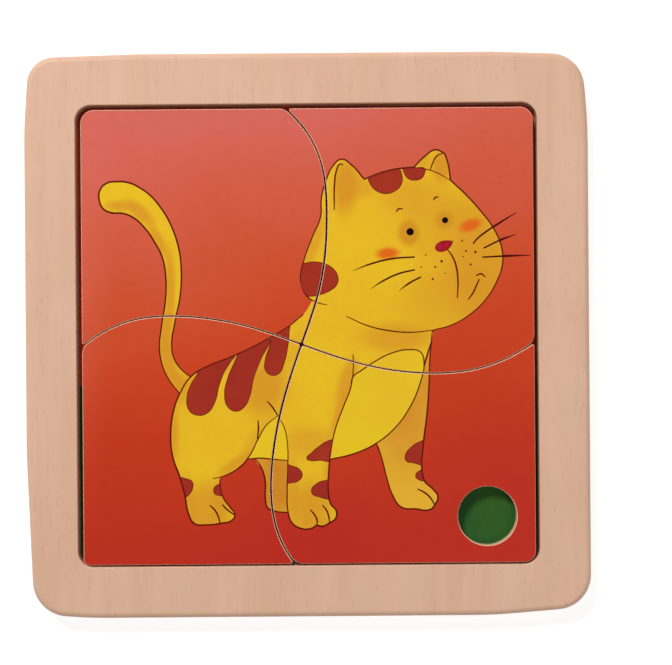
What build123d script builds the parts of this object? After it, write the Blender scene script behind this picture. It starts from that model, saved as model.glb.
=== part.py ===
from build123d import *
import os

# A wooden tray puzzle for small children, in millimetres. A one-piece ring is glued on a base
# board. Four tiles, cut apart by two S-shaped seams, lie in the opening of the ring. The tray lies
# on its back: +Z points out of the picture, +Y to the picture's top, +X to its right.

# Tray
tray_width = 150.0
tray_length = 150.0
rail_width = 13.7
outer_roundover = 1.6
inner_roundover = 0.4
opening_corner_radius = 4.2
base_thickness = 3.0
base_roundover = 0.8

# The tray's corners are sanded round by hand: the sides slant in for some way before each corner.
# Clockwise at each corner: how long the side before it slants and how far in it comes, the same for
# the side after it, and the radius of the corner between them.
tray_corners = {
    "top_left": (20.0, 1.25, 30.0, 0.85, 7.3),
    "top_right": (26.0, 0.9, 19.0, 1.5, 9.0),
    "bottom_right": (12.0, 0.2, 26.0, 2.0, 9.3),
    "bottom_left": (16.0, 1.3, 44.0, 1.7, 9.5),
}
slant_radius = 120.0

# Printed sheet on the floor of the tray
floor_sheet_thickness = 0.2
floor_sheet_clearance = 0.15

# Tiles: a plywood core with a printed sheet glued on its face, which lies a little below the top of
# the ring. Their outer corners are rounded tighter than those of the opening, by these amounts.
core_thickness = 4.3
face_sheet_thickness = 0.2
face_sheet_inset = 0.15
core_edge_round = 0.13
tile_recess = 0.3
tile_corner_eases = {"top_left": 0.6, "top_right": 0.8, "bottom_right": 1.2, "bottom_left": 2.4}
tip_radius = 0.4
shoulder_radius = 3.8
junction_radius = 0.7

# Play of the four tiles together inside the opening
gap_left = 1.4
gap_right = 1.0
gap_top = 1.2
gap_bottom = 0.4

# Seams: saw cuts that run from the junction to the four sides. Each arm swings to the right of its
# heading; its offsets from a straight line are given at these shares of the arm's run.
junction_x = -1.6
junction_y = -2.6
upright_kerf = 0.45
level_kerf = 0.30
arm_shares = (0.25, 0.55, 0.78, 0.92, 1.0)
up_arm_offsets = (5.1, 7.0, 5.4, 0.9, -3.6)
right_arm_offsets = (5.2, 7.9, 6.4, 2.9, 0.0)
down_arm_offsets = (4.8, 8.1, 7.8, 5.1, 2.2)
left_arm_offsets = (5.0, 7.7, 6.6, 3.1, 0.0)
seam_overrun = 2.0

# Finger hole through the lower right tile, set in from the two outer edges of that tile
hole_diameter = 15.7
hole_inset_x = 12.8
hole_inset_y = 12.35

# Places worked out from the sizes above
opening_width = tray_width - 2 * rail_width
opening_length = tray_length - 2 * rail_width
set_left = -opening_width / 2 + gap_left
set_right = opening_width / 2 - gap_right
set_bottom = -opening_length / 2 + gap_bottom
set_top = opening_length / 2 - gap_top
floor_z = base_thickness + floor_sheet_thickness
face_sheet_z = floor_z + core_thickness
rail_height = floor_sheet_thickness + core_thickness + face_sheet_thickness + tile_recess
junction = Vector(junction_x, junction_y)
hole_place = (set_right - hole_inset_x, set_bottom + hole_inset_y)

# Each arm: its heading, the length of its run and its offsets
arms = {
    "up": (Vector(0, 1), set_top - junction_y, up_arm_offsets),
    "right": (Vector(1, 0), set_right - junction_x, right_arm_offsets),
    "down": (Vector(0, -1), junction_y - set_bottom, down_arm_offsets),
    "left": (Vector(-1, 0), junction_x - set_left, left_arm_offsets),
}

# The heading of the side that comes before each corner, clockwise
corner_headings = {
    "top_left": Vector(0, 1),
    "top_right": Vector(1, 0),
    "bottom_right": Vector(0, -1),
    "bottom_left": Vector(-1, 0),
}

# Each tile: its side of the junction in X and Y, the arm that ends at its sharp tip, and the arm
# that ends at its rounded shoulder
tiles = {
    "top_left": (-1, 1, "left", "up"),
    "top_right": (1, 1, "up", "right"),
    "bottom_right": (1, -1, "right", "down"),
    "bottom_left": (-1, -1, "down", "left"),
}


def tray_outline():
    """The outline of the tray, with its slanting sides and its round corners."""
    points = []
    radii = []
    for name, (run_in, depth_in, run_out, depth_out, radius) in tray_corners.items():
        heading = corner_headings[name]
        side = heading.rotate(Axis.Z, -90)
        corner = Vector((heading - side).X * tray_width / 2, (heading - side).Y * tray_length / 2)
        points.append(corner - heading * run_in)
        points.append(corner - heading * depth_out + side * depth_in)
        points.append(corner + side * run_out)
        radii += [slant_radius, radius, slant_radius]
    outline = make_face(Polyline(*points, close=True))
    for point, radius in zip(points, radii):
        outline = fillet(outline.vertices().sort_by_distance(point)[0], radius)
    return outline


def base_board():
    board = extrude(tray_outline(), base_thickness, dir=(0, 0, 1))
    return fillet(board.faces().sort_by(Axis.Z)[0].edges(), base_roundover)


def frame_ring():
    opening = RectangleRounded(opening_width, opening_length, opening_corner_radius)
    ring = extrude(tray_outline() - opening, rail_height, dir=(0, 0, 1))
    top = ring.faces().sort_by(Axis.Z)[-1]
    inner_edges = top.inner_wires()[0].edges()
    ring = fillet(inner_edges, inner_roundover)
    top = ring.faces().sort_by(Axis.Z)[-1]
    ring = fillet(top.outer_wire().edges(), outer_roundover)
    return Pos(0, 0, base_thickness) * ring


def floor_sheet():
    outline = RectangleRounded(
        opening_width - 2 * floor_sheet_clearance,
        opening_length - 2 * floor_sheet_clearance,
        opening_corner_radius - floor_sheet_clearance,
    )
    return Pos(0, 0, base_thickness) * extrude(outline, floor_sheet_thickness)


def arm_points(name):
    """The points that an arm passes through on its way out from the junction."""
    heading, run, offsets = arms[name]
    side = heading.rotate(Axis.Z, -90)
    places = zip(arm_shares, offsets)
    return [junction + heading * (run * share) + side * offset for share, offset in places]


def seam(arm_in, arm_out, width):
    """A cut of the given width that comes in along one arm and goes out along the other."""
    middle = arm_points(arm_in)[::-1] + [junction] + arm_points(arm_out)
    first = middle[0] + (middle[0] - middle[1]).normalized() * seam_overrun
    last = middle[-1] + (middle[-1] - middle[-2]).normalized() * seam_overrun
    return trace(Spline(first, *middle, last), line_width=width)


def tile_faces(inset):
    """The outlines of the four tiles, drawn in by inset along every edge."""
    whole = Rectangle(set_right - set_left - 2 * inset, set_top - set_bottom - 2 * inset)
    whole = Pos((set_left + set_right) / 2, (set_bottom + set_top) / 2) * whole
    upright = seam("down", "up", upright_kerf + 2 * inset)
    level = seam("left", "right", level_kerf + 2 * inset)
    faces = (whole - upright - level).faces()
    found = {}
    for name, (side_x, side_y, _, _) in tiles.items():
        corner_x = set_right if side_x > 0 else set_left
        corner_y = set_top if side_y > 0 else set_bottom
        corner = Vector(corner_x, corner_y)
        found[name] = min(faces, key=lambda face: (face.center() - corner).length)
    return found


def rounded(solid, place, radius):
    """Rounds the upright edge of the solid that is nearest to a place in plan."""
    foot = Vector(place.X, place.Y, solid.bounding_box().min.Z)
    edge = solid.edges().filter_by(Axis.Z).sort_by_distance(foot)[0]
    return fillet(edge, radius)


def tile_blank(name, inset, bottom_z, thickness):
    """A tile's outline made solid, with its tip, its shoulder and its two corners rounded."""
    side_x, side_y, tip_arm, shoulder_arm = tiles[name]
    corner = Vector(set_right if side_x > 0 else set_left, set_top if side_y > 0 else set_bottom)
    corner_radius = opening_corner_radius - tile_corner_eases[name]
    solid = Pos(0, 0, bottom_z) * extrude(tile_faces(inset)[name], thickness, dir=(0, 0, 1))
    solid = rounded(solid, corner, corner_radius - inset)
    solid = rounded(solid, arm_points(tip_arm)[-1], tip_radius - inset)
    solid = rounded(solid, arm_points(shoulder_arm)[-1], shoulder_radius - inset)
    return rounded(solid, junction, junction_radius - inset)


def finger_hole(radius, bottom_z, thickness):
    return Pos(*hole_place, bottom_z) * extrude(Circle(radius), thickness)


def tile_core(name):
    core = tile_blank(name, 0, floor_z, core_thickness)
    if name == "bottom_right":
        core -= finger_hole(hole_diameter / 2, floor_z, core_thickness)
    return fillet(core.faces().sort_by(Axis.Z)[-1].edges(), core_edge_round)


def face_sheet(name):
    sheet = tile_blank(name, face_sheet_inset, face_sheet_z, face_sheet_thickness)
    if name == "bottom_right":
        sheet -= finger_hole(hole_diameter / 2 + face_sheet_inset, face_sheet_z, face_sheet_thickness)
    return sheet


parts = {
    "base_board": base_board(),
    "frame_ring": frame_ring(),
    "floor_print": floor_sheet(),
}
for tile_name in tiles:
    parts[f"tile_{tile_name}"] = tile_core(tile_name)
    parts[f"print_{tile_name}"] = face_sheet(tile_name)

os.makedirs("parts", exist_ok=True)
for node, shape in parts.items():
    shape.label = node
    export_step(shape, f"parts/{node}.step")
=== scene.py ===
import math

import bmesh
import bpy
from mathutils import Matrix, Vector


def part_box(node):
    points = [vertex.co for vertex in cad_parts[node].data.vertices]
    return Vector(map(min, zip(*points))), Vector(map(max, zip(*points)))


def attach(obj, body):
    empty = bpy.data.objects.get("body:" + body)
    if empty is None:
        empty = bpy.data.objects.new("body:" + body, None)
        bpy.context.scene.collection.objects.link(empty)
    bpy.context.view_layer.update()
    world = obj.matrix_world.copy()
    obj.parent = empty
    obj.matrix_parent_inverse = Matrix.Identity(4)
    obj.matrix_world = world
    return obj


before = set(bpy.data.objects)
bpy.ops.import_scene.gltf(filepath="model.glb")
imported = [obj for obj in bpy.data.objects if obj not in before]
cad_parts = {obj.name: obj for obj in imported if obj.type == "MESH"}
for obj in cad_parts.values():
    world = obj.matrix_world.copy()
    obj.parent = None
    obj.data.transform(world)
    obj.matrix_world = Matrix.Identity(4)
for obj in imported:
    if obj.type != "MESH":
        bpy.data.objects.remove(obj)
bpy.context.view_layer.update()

# Lengths in this script are metres. The picture is drawn in millimetres from the middle of the
# tray, +Y to the top of the picture, and is scaled by MM when it is laid on the tiles.
MM = 0.001

TILES = ("top_left", "top_right", "bottom_right", "bottom_left")
TRAY_LOW, TRAY_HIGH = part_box("frame_ring")
SHEET_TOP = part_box("print_top_left")[1].z
BASE_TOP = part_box("base_board")[1].z
TILE_LOW, TILE_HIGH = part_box("tile_top_left")


def srgb(red, green, blue):
    """A display colour, 0 to 255, as the linear colour that shaders take."""
    parts = [value / 255 for value in (red, green, blue)]
    linear = [p / 12.92 if p <= 0.04045 else ((p + 0.055) / 1.055) ** 2.4 for p in parts]
    return (*linear, 1.0)


# ---------------------------------------------------------------------------------------------
# Finishes
# ---------------------------------------------------------------------------------------------

class Finish:
    """A material with one Principled shader, and short calls that add nodes to it."""

    def __init__(self, name, roughness=0.5, specular=0.5):
        self.material = bpy.data.materials.new(name)
        self.material.use_nodes = True
        self.tree = self.material.node_tree
        self.shader = self.tree.nodes["Principled BSDF"]
        self.set("Roughness", roughness)
        self.set("Specular IOR Level", specular)
        coordinates = self.add("ShaderNodeTexCoord")
        self.place = coordinates.outputs["Object"]
        self.normal = coordinates.outputs["Normal"]

    def add(self, kind, **settings):
        """A new node of this kind, with its settings."""
        node = self.tree.nodes.new(kind)
        for key, value in settings.items():
            setattr(node, key, value)
        return node

    def feed(self, socket, value):
        """Links a socket to another, or sets its value."""
        if isinstance(value, bpy.types.NodeSocket):
            self.tree.links.new(value, socket)
        else:
            socket.default_value = value

    def set(self, name, value):
        """Links or sets one of the shader's own sockets."""
        self.feed(self.shader.inputs[name], value)

    def math(self, operation, first, second=0.0):
        node = self.add("ShaderNodeMath", operation=operation)
        self.feed(node.inputs[0], first)
        self.feed(node.inputs[1], second)
        return node.outputs[0]

    def vector(self, operation, first, second):
        node = self.add("ShaderNodeVectorMath", operation=operation)
        self.feed(node.inputs[0], first)
        self.feed(node.inputs[1], second)
        return node.outputs["Value" if operation == "LENGTH" else "Vector"]

    def scaled(self, scale, source=None):
        """Object coordinates stretched by a scale along each axis."""
        return self.vector("MULTIPLY", source or self.place, scale)

    def axis(self, letter, source=None):
        """One of the three parts of a vector, which is the place unless another is given."""
        node = self.add("ShaderNodeSeparateXYZ")
        self.feed(node.inputs[0], source or self.place)
        return node.outputs[letter]

    def noise(self, vector, detail=3.0, roughness=0.55, distortion=0.0):
        node = self.add("ShaderNodeTexNoise")
        self.feed(node.inputs["Vector"], vector)
        self.feed(node.inputs["Scale"], 1.0)
        self.feed(node.inputs["Detail"], detail)
        self.feed(node.inputs["Roughness"], roughness)
        self.feed(node.inputs["Distortion"], distortion)
        return node.outputs[0]

    def between(self, value, low, high, to_low=0.0, to_high=1.0):
        """Smoothly maps low..high to to_low..to_high and holds it there outside."""
        node = self.add("ShaderNodeMapRange", interpolation_type="SMOOTHSTEP")
        for socket, number in zip(node.inputs, (value, low, high, to_low, to_high)):
            self.feed(socket, number)
        return node.outputs[0]

    def mix(self, share, first, second):
        """The first colour where share is 0, the second where it is 1."""
        node = self.add("ShaderNodeMix", data_type="RGBA")
        self.feed(node.inputs["Factor"], share)
        self.feed(node.inputs[6], first)
        self.feed(node.inputs[7], second)
        return node.outputs[2]

    def ramp(self, value, stops):
        """A colour ramp through (position, colour) stops."""
        node = self.add("ShaderNodeValToRGB")
        band = node.color_ramp
        while len(band.elements) < len(stops):
            band.elements.new(0.5)
        for element, (position, colour) in zip(band.elements, stops):
            element.position = position
            element.color = colour
        self.feed(node.inputs[0], value)
        return node.outputs[0]

    def spot(self, x, y, width, height, core=0.25, turn=0.0):
        """1 inside a soft oval on the picture, falling to 0 at its rim. Sizes are in millimetres."""
        oval = self.add("ShaderNodeMapping", vector_type="TEXTURE")
        self.feed(oval.inputs["Vector"], self.place)
        self.feed(oval.inputs["Location"], (x * MM, y * MM, 0))
        self.feed(oval.inputs["Rotation"], (0, 0, math.radians(turn)))
        self.feed(oval.inputs["Scale"], (width * MM / 2, height * MM / 2, 1))
        return self.between(self.vector("LENGTH", oval.outputs[0], (0, 0, 0)), 1.0, core)

    def bump(self, height, strength, distance):
        node = self.add("ShaderNodeBump")
        self.feed(node.inputs["Strength"], strength)
        self.feed(node.inputs["Distance"], distance)
        self.feed(node.inputs["Height"], height)
        self.set("Normal", node.outputs[0])

    def side_share(self):
        """1 on upright faces, 0 on level ones."""
        level = self.math("ABSOLUTE", self.axis("Z", self.normal))
        return self.between(level, 0.75, 0.35)


# How much light the varnished paper throws back, and the pale wood or paper of a cut edge
PRINT_SHEEN = 0.06
CUT_EDGE = srgb(240, 196, 176)

# Layers in the plywood of each board
RING_LAYERS = 6
BASE_LAYERS = 4
TILE_LAYERS = 5


def ply_layers(finish, low, high, count, light, dark):
    """Plywood's layers, seen on its edges as stripes between two heights."""
    height = finish.axis("Z")
    wander = finish.noise(finish.scaled((180, 180, 0)), detail=2)
    shift = finish.math("MULTIPLY", finish.math("SUBTRACT", wander, 0.5), 0.25)
    share = finish.math("DIVIDE", finish.math("SUBTRACT", height, low), high - low)
    turns = finish.math("ADD", finish.math("MULTIPLY", share, count), shift)
    wave = finish.math("PINGPONG", turns, 1.0)
    fibre = finish.noise(finish.scaled((1500, 1500, 6000)), detail=2)
    layer = finish.between(wave, 0.42, 0.58)
    tinted = finish.mix(finish.between(fibre, 0.35, 0.7, 0.0, 0.45), dark, light)
    return finish.mix(layer, tinted, light)


def beech(name, light, dark, straw, fleck, low, high, layers, seed):
    """Lacquered beech plywood: fine grain and small ray flecks along Y, and layers on its edges."""
    wood = Finish(name, specular=0.25)
    source = wood.vector("ADD", wood.place, (seed, seed * 0.7, 0))
    streaks = wood.noise(wood.scaled((560, 30, 60), source), detail=4, distortion=0.6)
    bands = wood.noise(wood.scaled((120, 9, 10), source), detail=3, distortion=1.0)
    cloud = wood.noise(wood.scaled((46, 30, 10), source), detail=2)
    tone = wood.math("ADD", wood.math("MULTIPLY", streaks, 0.24), wood.math("MULTIPLY", bands, 0.46))
    tone = wood.math("ADD", tone, wood.math("MULTIPLY", cloud, 0.3))
    face = wood.mix(wood.between(tone, 0.36, 0.64), dark, light)
    warmth = wood.noise(wood.scaled((90, 34, 20), source), detail=3, distortion=0.5)
    face = wood.mix(wood.between(warmth, 0.38, 0.66, 0.0, 0.5), face, straw)
    specks = wood.noise(wood.scaled((1300, 240, 60), source), detail=1)
    face = wood.mix(wood.between(specks, 0.62, 0.78, 0.0, 0.16), face, fleck)
    edge = ply_layers(wood, low, high, layers, light, fleck)
    wood.set("Base Color", wood.mix(wood.side_share(), face, edge))
    wood.set("Roughness", wood.between(streaks, 0.3, 0.7, 0.42, 0.56))
    wood.bump(wood.math("ADD", streaks, wood.math("MULTIPLY", specks, -0.5)), 0.25, 0.00006)
    return wood.material


def bare_edge(name):
    """The pale bare wood of a tile: its worn top edge, its layers and its plain back."""
    wood = Finish(name, roughness=0.6, specular=0.3)
    light = srgb(238, 205, 168)
    dark = srgb(204, 158, 116)
    edge = ply_layers(wood, TILE_LOW.z, TILE_HIGH.z, TILE_LAYERS, light, dark)
    grain = wood.noise(wood.scaled((700, 40, 90)), detail=3)
    face = wood.mix(wood.between(grain, 0.35, 0.65, 0, 0.6), CUT_EDGE, srgb(236, 196, 164))
    wood.set("Base Color", wood.mix(wood.side_share(), face, edge))
    wood.bump(grain, 0.2, 0.00005)
    return wood.material


def varnish_relief(finish, strength=0.12):
    """The faint unevenness of a varnished paper face."""
    relief = finish.noise(finish.scaled((260, 260, 260)), detail=2)
    finish.bump(relief, strength, 0.00008)


def printed_paper(finish, face):
    """The printed face with the sheet's pale cut edge on its sides."""
    finish.set("Base Color", finish.mix(finish.side_share(), face, CUT_EDGE))


# The ground's colours run over this height, from the foot of the picture to its top
GROUND_HEIGHT = 0.12


def red_ground(name):
    """The picture's ground: pinkish red at the top, orange red below, in soft washes."""
    sheet = Finish(name, specular=PRINT_SHEEN)
    wash = sheet.noise(sheet.scaled((22, 22, 0)), detail=4, roughness=0.5, distortion=0.6)
    height = sheet.math("DIVIDE", sheet.axis("Y"), GROUND_HEIGHT)
    drift = sheet.math("MULTIPLY", sheet.axis("X"), -1.2)
    height = sheet.math("ADD", sheet.math("ADD", height, 0.5), drift)
    height = sheet.math("ADD", height, sheet.math("MULTIPLY", sheet.math("SUBTRACT", wash, 0.5), 0.32))
    colour = sheet.ramp(height, (
        (0.02, srgb(186, 46, 30)),
        (0.28, srgb(192, 56, 28)),
        (0.48, srgb(200, 68, 34)),
        (0.66, srgb(204, 80, 48)),
        (0.84, srgb(208, 92, 68)),
        (1.0, srgb(210, 101, 89)),
    ))
    flush = sheet.spot(-62, 20, 26, 150, core=0.0)
    colour = sheet.mix(sheet.math("MULTIPLY", flush, 0.35), colour, srgb(216, 106, 84))
    deep = sheet.spot(2, -52, 46, 34, core=0.1)
    colour = sheet.mix(sheet.math("MULTIPLY", deep, 0.5), colour, srgb(182, 40, 36))
    grain = sheet.noise(sheet.scaled((420, 420, 0)), detail=3)
    colour = sheet.mix(sheet.between(grain, 0.3, 0.8, 0.0, 0.07), colour, srgb(150, 30, 20))
    printed_paper(sheet, colour)
    sheet.set("Roughness", sheet.between(grain, 0.3, 0.7, 0.3, 0.4))
    varnish_relief(sheet)
    return sheet.material


# The meadow's skyline on the floor sheet: its lowest place, how far it may rise, and its softness
SKYLINE_FOOT = -0.027
SKYLINE_RISE = 0.03
SKYLINE_SOFT = 0.0004


def floor_picture(name):
    """The sheet on the tray's floor: a green meadow under a dark red evening sky."""
    sheet = Finish(name, specular=PRINT_SHEEN)
    swell = sheet.noise(sheet.scaled((14, 0, 0)), detail=1)
    skyline = sheet.math("ADD", sheet.math("MULTIPLY", swell, SKYLINE_RISE), SKYLINE_FOOT)
    over = sheet.math("SUBTRACT", sheet.axis("Y"), skyline)
    blades = sheet.noise(sheet.scaled((900, 120, 0)), detail=3)
    cloud = sheet.noise(sheet.scaled((40, 40, 0)), detail=3)
    green = sheet.mix(sheet.between(cloud, 0.35, 0.65), srgb(34, 84, 38), srgb(54, 92, 32))
    green = sheet.mix(sheet.between(blades, 0.45, 0.8, 0, 0.15), green, srgb(26, 64, 30))
    sky = sheet.mix(sheet.between(cloud, 0.35, 0.65), srgb(196, 56, 38), srgb(204, 74, 48))
    sky_share = sheet.between(over, -SKYLINE_SOFT, SKYLINE_SOFT)
    sheet.set("Base Color", sheet.mix(sky_share, green, sky))
    varnish_relief(sheet, 0.08)
    return sheet.material


# Soft ochre shading on the coat: middle x, y, width, height, strength and turn
COAT_SHADING = (
    # the back and the rump
    (-11.5, -14.0, 18, 24, 0.9, -15), (-33.0, -14.0, 7, 18, 0.6, -30), (-20.0, -7.0, 26, 7, 0.5, 22),
    # the near hind foot and the thigh
    (-32.0, -44.0, 6, 22, 0.6, 8), (-27.0, -45.5, 20, 20, 0.75, 0), (-23.6, -44.0, 6, 16, 0.6, 0),
    (-27.0, -49.4, 18, 6, 0.4, 0), (-14.0, -28.0, 6, 20, 0.45, -35),
    # the tail, from its tip to its root
    (-49.5, 34.6, 12, 4.5, 0.8, 0), (-44.2, 32.8, 5.5, 14, 0.85, 48), (-39.4, 25.0, 4.6, 16, 0.8, 27),
    (-36.4, 14.0, 4.2, 26, 0.85, 0), (-37.5, 1.0, 4.6, 24, 0.9, -8), (-37.0, -6.0, 6, 18, 0.9, 8),
    (-35.0, -11.6, 6, 12, 0.9, 35),
    # the ears
    (10.6, 39.4, 10, 22, 1.0, -6), (10.0, 41.0, 6, 12, 0.7, -6), (14.8, 39.0, 10, 9, 0.55, 0),
    (36.0, 44.4, 8, 13, 1.0, 0), (36.2, 45.0, 5, 8, 0.6, 0), (31.2, 46.0, 6, 8, 0.6, 0),
    # the head: its right side, its chin, its forehead, between the eyes, and its left side
    (46.0, 19.0, 28, 56, 0.85, 8), (38.0, 9.0, 38, 28, 0.55, 0), (31.0, 35.0, 34, 18, 0.55, -18),
    (33.0, 25.0, 16, 16, 0.4, 0), (1.6, 24.0, 6, 28, 0.65, -22),
    # the near front leg and the chest
    (-4.2, -42.0, 5, 28, 0.6, 0), (0.6, -45.5, 17, 20, 0.8, 0), (0.5, -28.5, 18, 12, 0.5, 0),
    (5.6, -36.0, 5, 24, 0.55, 0), (10.4, -13.0, 7, 22, 0.8, -16), (2.0, -50.4, 16, 5, 0.5, 0),
    # the shoulder, the neck and the nape
    (-3.6, -4.0, 5, 16, 0.4, -18), (24.0, -1.0, 30, 12, 0.75, 0), (-6.6, 2.0, 14, 5, 0.4, 30),
    # the edges of the rump, the thigh and the chest
    (-36.0, -25.0, 5, 24, 0.75, 2), (-19.4, -34.2, 16, 4.6, 0.75, 33), (8.6, -20.8, 4.4, 20, 0.7, -22),
)

# Darker rings round the eyes: middle x, y, width, height and strength
EYE_RINGS = ((27.1, 26.8, 7.4, 9.4, 0.8), (36.7, 30.1, 6.4, 6.6, 0.6))

# Rosy cheeks: middle x, y and turn, and the size and strength of both
CHEEKS = ((21.5, 21.4, 4), (43.5, 28.7, 20))
CHEEK_WIDTH = 8.8
CHEEK_HEIGHT = 4.6
CHEEK_SHARE = 0.95

# Shade on the far legs: middle x, y, width, height and strength
FAR_SHADING = ((25, -22, 14, 34, 0.5), (-9.5, -40, 22, 30, 1.0))


def coat_yellow(name):
    """The cat's coat: warm yellow with soft ochre shading, rosy cheeks and shaded eyes."""
    ink = Finish(name, specular=PRINT_SHEEN)
    wash = ink.noise(ink.scaled((45, 45, 0)), detail=3)
    colour = ink.mix(ink.between(wash, 0.35, 0.65), srgb(228, 179, 36), srgb(229, 186, 34))
    for x, y, width, height, share, turn in COAT_SHADING:
        shade = ink.math("MULTIPLY", ink.spot(x, y, width, height, turn=turn), share)
        colour = ink.mix(shade, colour, srgb(213, 146, 36))
    for x, y, width, height, share in EYE_RINGS:
        ring = ink.math("MULTIPLY", ink.spot(x, y, width, height, core=0.45), share)
        colour = ink.mix(ring, colour, srgb(203, 134, 30))
    for x, y, turn in CHEEKS:
        flush = ink.spot(x, y, CHEEK_WIDTH, CHEEK_HEIGHT, core=0.3, turn=turn)
        colour = ink.mix(ink.math("MULTIPLY", flush, CHEEK_SHARE), colour, srgb(221, 96, 24))
    grain = ink.noise(ink.scaled((500, 500, 0)), detail=2)
    colour = ink.mix(ink.between(grain, 0.4, 0.8, 0.0, 0.08), colour, srgb(190, 130, 30))
    ink.set("Base Color", colour)
    ink.set("Roughness", ink.between(grain, 0.3, 0.7, 0.3, 0.4))
    varnish_relief(ink)
    return ink.material


def washed_ink(name, first, second, scale=60):
    """An ink that varies softly between two tones."""
    ink = Finish(name, specular=PRINT_SHEEN)
    wash = ink.noise(ink.scaled((scale, scale, 0)), detail=4, roughness=0.6)
    ink.set("Base Color", ink.mix(ink.between(wash, 0.35, 0.65), first, second))
    ink.set("Roughness", ink.between(wash, 0.3, 0.7, 0.32, 0.41))
    varnish_relief(ink)
    return ink.material


def far_coat(name):
    """The cat's far legs and neck: ochre, darker where they go behind the chest."""
    ink = Finish(name, specular=PRINT_SHEEN)
    rise = ink.between(ink.axis("Y"), -0.048, -0.012)
    colour = ink.mix(rise, srgb(224, 172, 46), srgb(211, 142, 38))
    for x, y, width, height, share in FAR_SHADING:
        shade = ink.math("MULTIPLY", ink.spot(x, y, width, height), share)
        colour = ink.mix(shade, colour, srgb(204, 130, 34))
    wash = ink.noise(ink.scaled((90, 90, 0)), detail=3)
    colour = ink.mix(ink.between(wash, 0.4, 0.75, 0.0, 0.25), colour, srgb(230, 176, 60))
    ink.set("Base Color", colour)
    ink.set("Roughness", ink.between(wash, 0.3, 0.7, 0.3, 0.4))
    varnish_relief(ink)
    return ink.material


def table_paint(name):
    """The table's pale matt paint, which glows, so that shadows on it stay faint."""
    paint = Finish(name, roughness=0.7, specular=0.2)
    cloud = paint.noise(paint.scaled((3, 3, 3)), detail=2)
    paint.set("Base Color", paint.mix(cloud, (0.46, 0.46, 0.46, 1), (0.5, 0.5, 0.5, 1)))
    paint.set("Emission Color", (1, 1, 1, 1))
    paint.set("Emission Strength", TABLE_GLOW)
    return paint.material


def dress(node, material):
    """Gives a CAD node its finish."""
    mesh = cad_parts[node].data
    mesh.materials.clear()
    mesh.materials.append(material)


# ---------------------------------------------------------------------------------------------
# Laying the picture on the tiles
# ---------------------------------------------------------------------------------------------

# A film of ink reaches this far into the sheet, in millimetres, so that it doesn't float on it
FILM_SINK = 0.03

# Steps along a curve from one of its points to the next
CURVE_STEPS = 8

# A tile's cutter is its sheet made this many times as tall, and raised by this many millimetres
CUTTER_STRETCH = 10
CUTTER_RISE = 1


def in_scene(name, data):
    """A new object with this data, linked to the scene."""
    item = bpy.data.objects.new(name, data)
    bpy.context.scene.collection.objects.link(item)
    return item


def solid_mesh(item):
    """The evaluated mesh of an object, with its doubles merged. The object is removed."""
    graph = bpy.context.evaluated_depsgraph_get()
    mesh = bpy.data.meshes.new_from_object(item.evaluated_get(graph))
    old = item.data
    bpy.data.objects.remove(item)
    if isinstance(old, bpy.types.Curve):
        bpy.data.curves.remove(old)
    shape = bmesh.new()
    shape.from_mesh(mesh)
    bmesh.ops.remove_doubles(shape, verts=shape.verts, dist=1e-4)
    bmesh.ops.recalc_face_normals(shape, faces=shape.faces)
    shape.to_mesh(mesh)
    shape.free()
    return mesh


def bezier(curve, points, closed):
    """A smooth spline through (x, y) points. A third value of 0 makes a point a sharp corner."""
    spline = curve.splines.new("BEZIER")
    spline.bezier_points.add(len(points) - 1)
    for knot, point in zip(spline.bezier_points, points):
        knot.co = (point[0], point[1], 0)
        kind = "VECTOR" if len(point) > 2 else "AUTO"
        knot.handle_left_type = kind
        knot.handle_right_type = kind
    spline.use_cyclic_u = closed
    return spline


def film(points, height):
    """A thin closed film of ink with a smooth outline, that stands proud of the sheet by height."""
    curve = bpy.data.curves.new("film", "CURVE")
    curve.dimensions = "2D"
    curve.fill_mode = "BOTH"
    curve.resolution_u = CURVE_STEPS
    curve.extrude = (height + FILM_SINK) / 2
    bezier(curve, points, closed=True)
    mesh = solid_mesh(in_scene("film", curve))
    mesh.transform(Matrix.Translation((0, 0, (height - FILM_SINK) / 2)))
    return mesh


def stroke(points, width, height, closed=False, ends=(1.0, 1.0)):
    """A drawn line of ink, rounded across. ends gives its width at each end as a share of width."""
    curve = bpy.data.curves.new("stroke", "CURVE")
    curve.dimensions = "3D"
    curve.resolution_u = CURVE_STEPS
    curve.bevel_depth = width / 2
    curve.bevel_resolution = 1
    curve.use_fill_caps = not closed
    spline = bezier(curve, points, closed)
    last = len(points) - 1
    for index, knot in enumerate(spline.bezier_points):
        share = index / last
        full = 4 * share * (1 - share)
        end = ends[0] + (ends[1] - ends[0]) * share
        knot.radius = end + (1 - end) * full if not closed else 1.0
    mesh = solid_mesh(in_scene("stroke", curve))
    mesh.transform(Matrix.Diagonal((1, 1, 2 * height / width, 1)))
    return mesh


def dot(x, y, width, height):
    """A raised round spot of ink."""
    shape = bmesh.new()
    bmesh.ops.create_uvsphere(shape, u_segments=20, v_segments=8, radius=0.5)
    bmesh.ops.scale(shape, vec=(width, width, 2 * height), verts=shape.verts)
    bmesh.ops.translate(shape, vec=(x, y, 0), verts=shape.verts)
    mesh = bpy.data.meshes.new("dot")
    shape.to_mesh(mesh)
    shape.free()
    return mesh


def tile_cutters():
    """For each tile, its printed sheet as a tall block, in the picture's millimetres."""
    found = {}
    for tile in TILES:
        shape = bmesh.new()
        shape.from_mesh(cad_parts[f"print_{tile}"].data)
        bmesh.ops.remove_doubles(shape, verts=shape.verts, dist=1e-6)
        bmesh.ops.translate(shape, vec=(0, 0, -SHEET_TOP), verts=shape.verts)
        bmesh.ops.scale(shape, vec=(1 / MM, 1 / MM, CUTTER_STRETCH / MM), verts=shape.verts)
        bmesh.ops.translate(shape, vec=(0, 0, CUTTER_RISE), verts=shape.verts)
        mesh = bpy.data.meshes.new("cutter")
        shape.to_mesh(mesh)
        shape.free()
        found[tile] = in_scene(f"cutter_{tile}", mesh)
    return found


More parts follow.
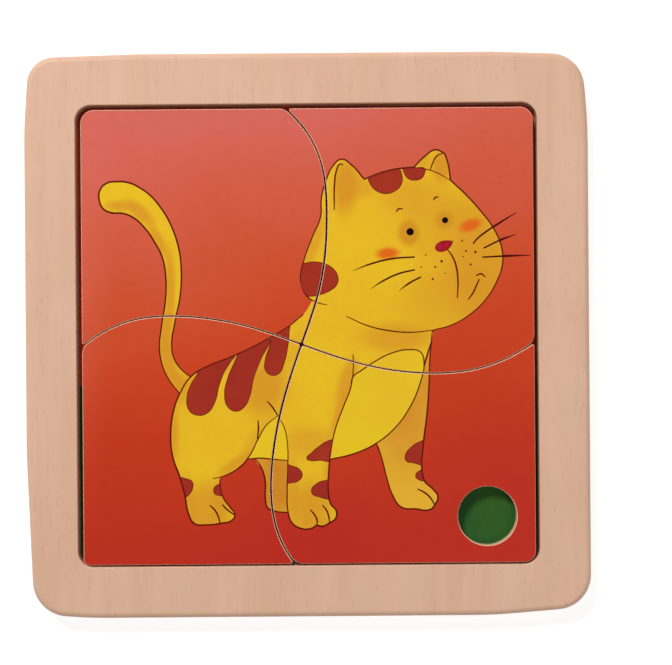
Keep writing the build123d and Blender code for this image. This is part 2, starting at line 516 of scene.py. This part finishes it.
def reach(mesh):
    """How far a mesh reaches: its lowest x, highest x, lowest y and highest y."""
    spots = [v.co for v in mesh.vertices]
    return [f(v[k] for v in spots) for k in (0, 1) for f in (min, max)]


def meet(first, second):
    """Whether two such reaches overlap."""
    return all(first[k] < second[k + 1] and second[k] < first[k + 1] for k in (0, 2))


def cut_by(mesh, block):
    """What is left of a mesh inside a block."""
    item = in_scene("share", mesh)
    cut = item.modifiers.new("cut", "BOOLEAN")
    cut.operation = "INTERSECT"
    cut.solver = "EXACT"
    cut.object = block
    return solid_mesh(item)


def lay(name, material, meshes):
    """Cuts the shapes by the tiles' outlines, and puts each tile's share on that tile as one piece."""
    for tile, cutter in cutters.items():
        piece = bmesh.new()
        room = reach(cutter.data)
        for mesh in meshes:
            if not meet(reach(mesh), room):
                continue
            part = cut_by(mesh.copy(), cutter)
            piece.from_mesh(part)
            bpy.data.meshes.remove(part)
        if len(piece.faces):
            bmesh.ops.translate(piece, vec=(0, 0, SHEET_TOP / MM), verts=piece.verts)
            bmesh.ops.scale(piece, vec=(MM, MM, MM), verts=piece.verts)
            mesh = bpy.data.meshes.new(f"{name}_{tile}")
            piece.to_mesh(mesh)
            mesh.materials.append(material)
            item = in_scene(f"{name}_{tile}", mesh)
            for face in mesh.polygons:
                face.material_index = 0
            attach(item, f"{tile}_tile")
        piece.free()


# ---------------------------------------------------------------------------------------------
# The picture: a yellow cat with dark red patches, standing with its tail up and looking right
# ---------------------------------------------------------------------------------------------

# How far each ink stands above the sheet, in millimetres, from the lowest to the highest
FAR_LEG_HIGH = 0.012
TAIL_HIGH = 0.013
BODY_HIGH = 0.014
HEAD_HIGH = 0.016
BIB_HIGH = 0.020
PATCH_HIGH = 0.028
RIM_HIGH = 0.035
LINE_HIGH = 0.045
WHISKER_HIGH = 0.050
NOSE_HIGH = 0.050
NOSE_RIM_HIGH = 0.055
EYE_HIGH = 0.060

# Widths of the rims and of the finer lines, in millimetres
RIM_WIDTH = 0.34
BIB_WIDTH = 0.44
FOLD_WIDTH = 0.58
WHISKER_WIDTH = 0.62
NOSE_RIM_WIDTH = 0.3

# The block that cuts the patches at the coat's edge is far taller than any ink
PATCH_BLOCK_HIGH = 1.0

TAIL = (
    (-31.2, -11.0), (-33.4, -9.2), (-35.3, -6.5), (-36.1, -3.0), (-35.2, 3.6), (-33.8, 10.2),
    (-33.4, 17.0), (-34.0, 23.0), (-36.3, 29.9), (-38.8, 34.1), (-41.4, 37.2), (-44.2, 39.3),
    (-47.2, 40.7), (-50.4, 41.0), (-53.2, 40.5), (-54.8, 38.7), (-55.0, 36.2), (-53.9, 33.8),
    (-51.8, 32.8), (-48.8, 32.6), (-46.2, 31.6), (-42.9, 28.6), (-40.4, 24.9), (-38.3, 20.6),
    (-37.5, 15.6), (-37.6, 9.6), (-38.7, 2.6), (-39.3, -3.4), (-38.6, -7.7), (-36.9, -11.6),
    (-34.2, -15.2),
)
BACK = (
    (-1.0, 5.4), (-5.0, 2.2), (-9.0, -0.2), (-12.6, -2.2), (-20.6, -5.9), (-27.4, -8.6),
    (-31.2, -11.1), (-33.9, -15.2), (-35.6, -19.6), (-36.5, -26.0), (-36.0, -32.2), (-34.2, -37.4),
    (-32.9, -42.2), (-31.9, -47.4), (-30.4, -49.9), (-27.2, -50.3), (-23.4, -49.9), (-20.4, -49.1),
    (-19.7, -47.6), (-20.8, -45.9), (-22.6, -43.4), (-23.5, -40.4), (-23.5, -38.0),
)
THIGH = (
    (-25.4, -38.1), (-22.3, -37.3), (-18.2, -35.0), (-15.4, -31.7), (-13.4, -27.8), (-11.0, -23.9),
    (-8.0, -21.5),
)
CHEST_LEG = (
    (-8.0, -21.5), (-6.3, -24.8), (-5.5, -29.4), (-5.5, -35.4), (-5.7, -41.6), (-5.5, -47.0),
    (-4.4, -50.0), (-2.2, -51.4), (0.5, -51.5), (2.1, -50.6, 0), (3.7, -50.9), (5.5, -50.0, 0),
    (7.0, -49.0), (7.3, -47.0), (5.8, -45.0), (5.2, -42.2), (5.3, -37.2), (5.9, -31.6),
    (7.2, -25.2), (9.6, -18.8), (11.4, -14.2), (12.1, -9.4), (12.1, -5.3),
)
BIB = (
    (12.0, -11.4), (14.2, -9.7), (18.0, -7.2), (22.6, -5.0), (27.0, -4.2), (30.0, -4.9),
    (30.9, -7.6), (29.8, -13.2), (27.0, -19.6), (23.2, -24.8), (18.2, -28.9), (12.4, -31.6),
    (5.6, -33.2, 0), (6.0, -30.8), (7.2, -25.2), (9.6, -18.8), (11.4, -14.2),
)
BELLY = (
    (-15.9, -32.9, 0), (-11.4, -32.8), (-5.5, -33.4, 0), (-5.5, -29.4), (-6.3, -24.8),
    (-8.0, -21.5, 0), (-11.0, -23.9), (-13.4, -27.8),
)
FAR_HIND_LEG = (
    (-13.8, -33.2), (-12.4, -35.4), (-11.5, -38.8), (-11.5, -43.4), (-10.9, -45.9), (-9.0, -46.8),
    (-5.5, -47.2),
)
FAR_FRONT_LEG = (
    (18.1, -29.0), (19.4, -32.6), (20.8, -38.2), (22.4, -43.0), (24.6, -46.0), (28.4, -46.5),
    (32.2, -46.7), (33.5, -45.4), (34.3, -43.3), (32.9, -41.2), (30.9, -39.3), (30.1, -36.2),
    (30.5, -29.6), (31.6, -21.0), (32.2, -13.0), (32.4, -7.4), (32.9, -1.9), (33.2, 0.9),
)
HEAD = (
    (-1.3, 12.2), (-1.7, 15.4), (-0.6, 20.2), (1.5, 25.8), (3.8, 31.4), (4.0, 36.0), (5.2, 40.6),
    (7.2, 44.8), (9.4, 46.5), (12.0, 45.0), (15.4, 41.1, 0), (18.6, 42.4), (23.4, 43.7),
    (28.6, 44.2, 0), (31.6, 47.1), (34.4, 48.8), (36.8, 47.8, 0), (37.7, 45.0), (38.3, 40.7, 0),
    (42.3, 36.9), (46.4, 32.3), (49.9, 27.4), (51.8, 22.4), (51.9, 18.2), (50.4, 13.8),
    (47.6, 9.2), (43.4, 5.2), (38.6, 2.4), (33.2, 0.9),
)
JAW = ((33.2, 0.9), (27.6, 0.4), (21.6, 0.9), (15.6, 2.4), (10.4, 4.8))
NAPE = ((-1.3, 12.2), (0.0, 10.2), (2.4, 8.6), (5.4, 7.8))
LEFT_EAR_FOLD = ((9.9, 45.0), (9.0, 45.2), (8.1, 43.6), (7.5, 39.6), (7.4, 36.0), (7.4, 33.0))
RIGHT_EAR_FOLD = ((32.9, 43.3), (33.6, 45.2), (34.8, 47.2), (36.4, 47.9))
CROWN = ((28.6, 44.2), (31.4, 43.8), (34.6, 42.8), (38.3, 40.7))
FLANK = ((-10.8, -17.6), (-9.3, -19.4), (-8.0, -21.5))
HIP_FOLD = ((-13.3, -22.7), (-13.2, -25.0), (-13.5, -27.6))
NECK_FOLD = ((32.8, -2.4), (31.8, -5.6), (30.9, -8.8))
BELLY_LINE = ((-16.0, -32.9), (-13.0, -32.7), (-9.6, -33.0), (-5.5, -33.4))
TOES = (
    ((-26.3, -45.1), (-24.9, -46.5), (-24.0, -48.3), (-23.6, -50.0)),
    ((-23.0, -44.9), (-21.9, -46.1), (-19.8, -47.7)),
    ((0.4, -46.5), (1.6, -48.0), (2.2, -49.4), (2.1, -50.6)),
    ((3.6, -45.3), (4.7, -46.7), (5.3, -48.4), (5.5, -50.0)),
    ((28.9, -41.2), (30.8, -42.2), (32.4, -43.7), (33.4, -45.4)),
)
BROWS = (((23.9, 32.4), (24.3, 33.1), (25.6, 33.2)), ((33.8, 35.5), (34.2, 36.1), (35.1, 36.3)))
# The eyes: middle x, y and width
EYES = ((27.5, 27.1, 2.1), (36.8, 30.1, 1.75))
NOSE = (
    (34.2, 22.8), (35.1, 24.1), (36.8, 24.6), (38.8, 24.5, 0), (38.1, 23.1), (36.9, 22.1),
    (35.6, 21.8), (34.6, 22.1),
)
MOUTH = ((37.2, 22.5), (38.6, 20.6), (39.7, 17.6), (40.1, 13.8), (39.9, 9.4))
SMILE = ((45.8, 14.4), (45.0, 12.7), (44.1, 10.8), (42.8, 9.0))
DIMPLE = ((44.9, 15.3), (46.2, 15.8), (47.4, 14.9))
WHISKERS = (
    ((11.6, 16.6), (16.8, 18.6), (22.8, 20.0), (28.7, 20.4)),
    ((16.4, 11.7), (20.2, 14.1), (24.4, 16.0), (28.7, 17.0)),
    ((24.2, 11.2), (26.9, 13.3), (30.3, 15.1)),
    ((55.8, 32.0), (51.6, 29.5), (47.0, 26.5), (45.2, 25.0), (44.2, 23.8)),
    ((55.6, 26.2), (51.6, 24.8), (47.0, 22.6)),
    ((59.5, 20.6), (53.4, 20.5), (46.6, 20.2)),
)
# The freckles: middle x, y and width
FRECKLES = (
    (31.6, 20.9, 0.45), (30.4, 17.7, 0.5), (34.1, 17.7, 0.6), (35.8, 19.2, 0.75), (33.4, 14.5, 0.65),
    (36.7, 16.0, 0.4), (41.3, 24.6, 0.5), (42.3, 21.9, 0.6), (44.8, 21.6, 0.75), (41.5, 20.4, 0.4),
    (43.5, 18.3, 0.6),
)
CROWN_PATCHES = (
    ((16.6, 42.0), (17.3, 39.4), (18.9, 37.9), (21.2, 37.3), (23.6, 38.0), (25.2, 39.7),
     (25.5, 41.8), (24.2, 44.4), (20.0, 45.0)),
    ((25.9, 44.4), (26.2, 42.4), (27.2, 41.2), (28.9, 40.8), (30.6, 41.3), (31.5, 42.8),
     (31.6, 43.7), (29.0, 44.1)),
    ((-0.8, 18.9), (1.9, 19.3), (4.6, 18.8), (6.9, 17.5), (8.2, 15.3), (7.9, 13.2), (6.2, 11.7),
     (3.4, 10.6), (0.4, 10.2), (-2.6, 11.0), (-3.4, 15.0), (-2.6, 18.6)),
)
BODY_PATCHES = (
    # the back, three
    ((-28.0, -7.4), (-29.3, -10.2), (-31.0, -13.0), (-32.1, -16.4), (-31.6, -19.8), (-29.2, -21.2),
     (-26.6, -20.5), (-24.6, -17.4), (-23.6, -13.4), (-22.2, -9.8), (-20.6, -7.2), (-19.3, -4.6),
     (-23.4, -4.4)),
    ((-17.4, -3.2), (-19.5, -7.4), (-21.3, -11.6), (-22.1, -15.6), (-21.3, -19.0), (-19.0, -20.2),
     (-16.8, -18.9), (-15.3, -15.7), (-14.5, -11.8), (-12.4, -6.4), (-9.8, -0.8), (-10.4, 1.4),
     (-14.4, -0.4)),
    ((-8.6, 0.8), (-10.2, -3.4), (-11.3, -7.0), (-11.2, -9.4), (-9.6, -10.7), (-7.6, -10.2),
     (-6.3, -7.6), (-5.3, -3.4), (-4.9, 0.4), (-5.2, 3.6)),
    # the near front leg, three
    ((6.6, -28.2), (5.0, -28.4), (3.2, -29.5), (0.8, -31.5), (-0.4, -32.9), (0.4, -33.4),
     (3.2, -33.4), (6.6, -33.4)),
    ((-7.0, -34.8), (-4.0, -35.0), (-2.1, -36.1), (-1.7, -37.5), (-2.7, -38.8), (-4.6, -39.3),
     (-7.0, -39.3)),
    ((6.6, -39.2), (3.8, -38.9), (2.1, -39.7), (0.8, -41.2), (1.1, -42.4), (2.4, -43.0),
     (6.6, -43.2)),
    # the near hind leg, two
    ((-35.0, -38.0), (-32.4, -38.1), (-30.9, -38.9), (-30.8, -40.4), (-31.6, -42.0), (-32.6, -42.8),
     (-35.0, -42.0)),
    ((-22.6, -39.6), (-24.4, -39.9), (-25.2, -41.0), (-24.9, -42.1), (-23.8, -42.5), (-22.0, -42.4)),
)
FAR_LEG_PATCHES = (
    ((31.6, -28.5), (29.2, -28.9), (27.3, -30.2), (25.8, -32.2), (26.0, -33.7), (27.6, -34.2),
     (31.6, -34.4)),
    ((31.6, -36.2), (29.4, -36.5), (28.5, -37.5), (28.8, -38.4), (31.6, -38.7)),
)


def near_coat():
    """The outline of the near side of the body: back, hind leg, belly, front leg and neck."""
    under = ((-22.2, -37.2, 0), (-18.2, -35.0), (-15.4, -31.7), (-13.4, -27.8), (-11.0, -23.9),
             (-8.0, -21.5, 0))
    neck = ((12.1, -5.3, 0), (12.4, -10.4, 0), (21.0, -7.4, 0), (30.4, -7.2, 0), (31.8, -5.6, 0),
            (32.9, -1.9, 0), (33.2, 0.9, 0), (20.0, 8.0, 0), (10.0, 12.0, 0), (1.6, 9.4, 0))
    return BACK + under + CHEST_LEG[1:-1] + neck


def far_front():
    """The outline of the far front leg and the neck above it."""
    return FAR_FRONT_LEG + ((24.0, 4.0, 0), (11.0, 4.0, 0), (11.0, -14.0, 0), (14.0, -27.0, 0))


def head():
    """The outline of the head, closed along the jaw and the nape."""
    return HEAD + JAW[1:] + ((5.4, 7.8), (2.4, 8.6), (0.0, 10.2))


def draw_picture():
    """Prints the cat over the four tiles, from the films that lie lowest to those on top."""
    hidden_thigh = ((-5.0, -47.2, 0), (-5.0, -33.0, 0), (-10.0, -31.0, 0))
    hidden_root = ((-32.0, -16.4), (-29.4, -13.0))
    lay("cat_far_legs", far_coat("far_coat_ink"), (
        film(far_front(), FAR_LEG_HIGH),
        film(FAR_HIND_LEG + hidden_thigh, FAR_LEG_HIGH),
    ))
    lay("cat_coat", coat_yellow("coat_ink"), (
        film(TAIL + hidden_root, TAIL_HIGH),
        film(near_coat(), BODY_HIGH),
        film(head(), HEAD_HIGH),
    ))
    bib = washed_ink("bib_ink", srgb(228, 192, 34), srgb(226, 184, 38))
    lay("cat_bib", bib, (film(BIB, BIB_HIGH), film(BELLY, BIB_HIGH)))
    draw_patches()
    draw_lines()


def draw_patches():
    """The dark patches of the coat and their thin rims, cut off where the coat ends."""
    fields = ((CROWN_PATCHES, head()), (BODY_PATCHES, near_coat()), (FAR_LEG_PATCHES, far_front()))
    fills = []
    rims = []
    for patches, edge in fields:
        block = in_scene("block", film(edge, PATCH_BLOCK_HIGH))
        for points in patches:
            fills.append(cut_by(film(points, PATCH_HIGH), block))
            rims.append(cut_by(stroke(points, RIM_WIDTH, RIM_HIGH, closed=True), block))
        bpy.data.objects.remove(block)
    patch = washed_ink("patch_ink", srgb(154, 42, 32), srgb(162, 50, 30))
    lay("cat_patches", patch, fills)
    rim = washed_ink("patch_rim_ink", srgb(96, 26, 12), srgb(112, 34, 12), scale=300)
    lay("cat_patch_rims", rim, rims)


def draw_lines():
    """Everything that is drawn with a fine brush."""
    outlines = (
        (TAIL, 0.52), (BACK, 0.5), (THIGH, 0.46), (CHEST_LEG, 0.5), (FAR_HIND_LEG, 0.5),
        (FAR_FRONT_LEG, 0.5), (HEAD, 0.48), (NAPE, 0.4), (BELLY_LINE, 0.5), (CROWN, 0.36),
        (LEFT_EAR_FOLD, 0.56), (RIGHT_EAR_FOLD, 0.5), (MOUTH, 0.6), (JAW, 0.46),
    )
    brush = [stroke(points, width, LINE_HIGH, ends=(0.7, 0.7)) for points, width in outlines]
    brush.append(stroke(BIB, BIB_WIDTH, LINE_HIGH, closed=True))
    for points in (FLANK, HIP_FOLD, NECK_FOLD, SMILE, DIMPLE) + TOES + BROWS:
        brush.append(stroke(points, FOLD_WIDTH, LINE_HIGH, ends=(0.75, 0.75)))
    brush += [dot(x, y, size, LINE_HIGH) for x, y, size in FRECKLES]
    line = washed_ink("line_ink", srgb(84, 12, 2), srgb(104, 20, 2), scale=300)
    lay("cat_lines", line, brush)
    hairs = [stroke(points, WHISKER_WIDTH, WHISKER_HIGH, ends=(0.3, 0.85)) for points in WHISKERS]
    hair = washed_ink("whisker_ink", srgb(64, 2, 4), srgb(80, 6, 4), scale=300)
    lay("cat_whiskers", hair, hairs)
    eye = washed_ink("eye_ink", srgb(14, 0, 3), srgb(24, 0, 4), scale=900)
    lay("cat_eyes", eye, [dot(x, y, size, EYE_HIGH) for x, y, size in EYES])
    nose = washed_ink("nose_ink", srgb(146, 14, 36), srgb(170, 26, 42), scale=500)
    lay("cat_nose", nose, (film(NOSE, NOSE_HIGH),))
    lay("cat_nose_rim", line, (stroke(NOSE, NOSE_RIM_WIDTH, NOSE_RIM_HIGH, closed=True),))


# ---------------------------------------------------------------------------------------------
# The object
# ---------------------------------------------------------------------------------------------

ring_wood = beech(
    "ring_beech",
    light=srgb(219, 178, 154),
    dark=srgb(213, 169, 142),
    straw=srgb(211, 174, 142),
    fleck=srgb(168, 112, 82),
    low=TRAY_LOW.z,
    high=TRAY_HIGH.z,
    layers=RING_LAYERS,
    seed=0.0,
)
base_wood = beech(
    "base_beech",
    light=srgb(217, 178, 148),
    dark=srgb(206, 164, 130),
    straw=srgb(208, 172, 136),
    fleck=srgb(162, 110, 78),
    low=0.0,
    high=BASE_TOP,
    layers=BASE_LAYERS,
    seed=3.0,
)
dress("frame_ring", ring_wood)
dress("base_board", base_wood)
dress("floor_print", floor_picture("floor_sheet"))
tile_wood = bare_edge("tile_edge_wood")
ground = red_ground("picture_ground")
for tile in TILES:
    dress(f"tile_{tile}", tile_wood)
    dress(f"print_{tile}", ground)

cutters = tile_cutters()
draw_picture()
for cutter in cutters.values():
    bpy.data.objects.remove(cutter)


# ---------------------------------------------------------------------------------------------
# Table, light and camera
# ---------------------------------------------------------------------------------------------

# The table's top lies this far below the tray's back, so that the two faces don't coincide
TABLE_GAP = 0.0001
TABLE_REACH = 3.0
TABLE_GLOW = 0.76
WORLD_LIGHT = 0.2


def table():
    """A wide level table under the tray."""
    shape = bmesh.new()
    bmesh.ops.create_grid(shape, x_segments=1, y_segments=1, size=TABLE_REACH)
    bmesh.ops.translate(shape, vec=(0, 0, -TABLE_GAP), verts=shape.verts)
    mesh = bpy.data.meshes.new("table")
    shape.to_mesh(mesh)
    shape.free()
    mesh.materials.append(table_paint("table_paint"))
    in_scene("table", mesh)


def soft_light(name, place, size, power):
    """A round soft lamp that points at the middle of the tray."""
    lamp = bpy.data.lights.new(name, "AREA")
    lamp.shape = "DISK"
    lamp.size = size
    lamp.energy = power
    item = in_scene(name, lamp)
    item.location = place
    item.rotation_euler = (-Vector(place)).to_track_quat("-Z", "Y").to_euler()


def surroundings():
    """Even white light from all round."""
    world = bpy.data.worlds.new("studio")
    bpy.context.scene.world = world
    world.use_nodes = True
    back = world.node_tree.nodes["Background"]
    back.inputs["Color"].default_value = (1, 1, 1, 1)
    back.inputs["Strength"].default_value = WORLD_LIGHT


# The camera looks straight down. It sees this width at the height of the tray's top, round this
# middle, and is turned by this many degrees. The sensor's width is in millimetres.
CAMERA_HEIGHT = 0.58
VIEW_WIDTH = 0.1784
VIEW_MIDDLE = (0.0076, 0.0005)
CAMERA_TURN = -0.45
SENSOR = 36.0


def camera():
    """The camera above the tray."""
    lens = bpy.data.cameras.new("camera")
    lens.sensor_width = SENSOR
    lens.lens = SENSOR * (CAMERA_HEIGHT - TRAY_HIGH.z) / VIEW_WIDTH
    lens.clip_start = 0.01
    item = in_scene("camera", lens)
    item.location = (*VIEW_MIDDLE, CAMERA_HEIGHT)
    item.rotation_euler = (0, 0, math.radians(CAMERA_TURN))
    bpy.context.scene.camera = item


table()
surroundings()
soft_light("key", place=(-0.36, 0.66, 0.9), size=0.3, power=11.4)
soft_light("fill", place=(0.4, -0.3, 1.0), size=0.6, power=2.6)
camera()
bpy.context.scene.view_settings.view_transform = "Standard"
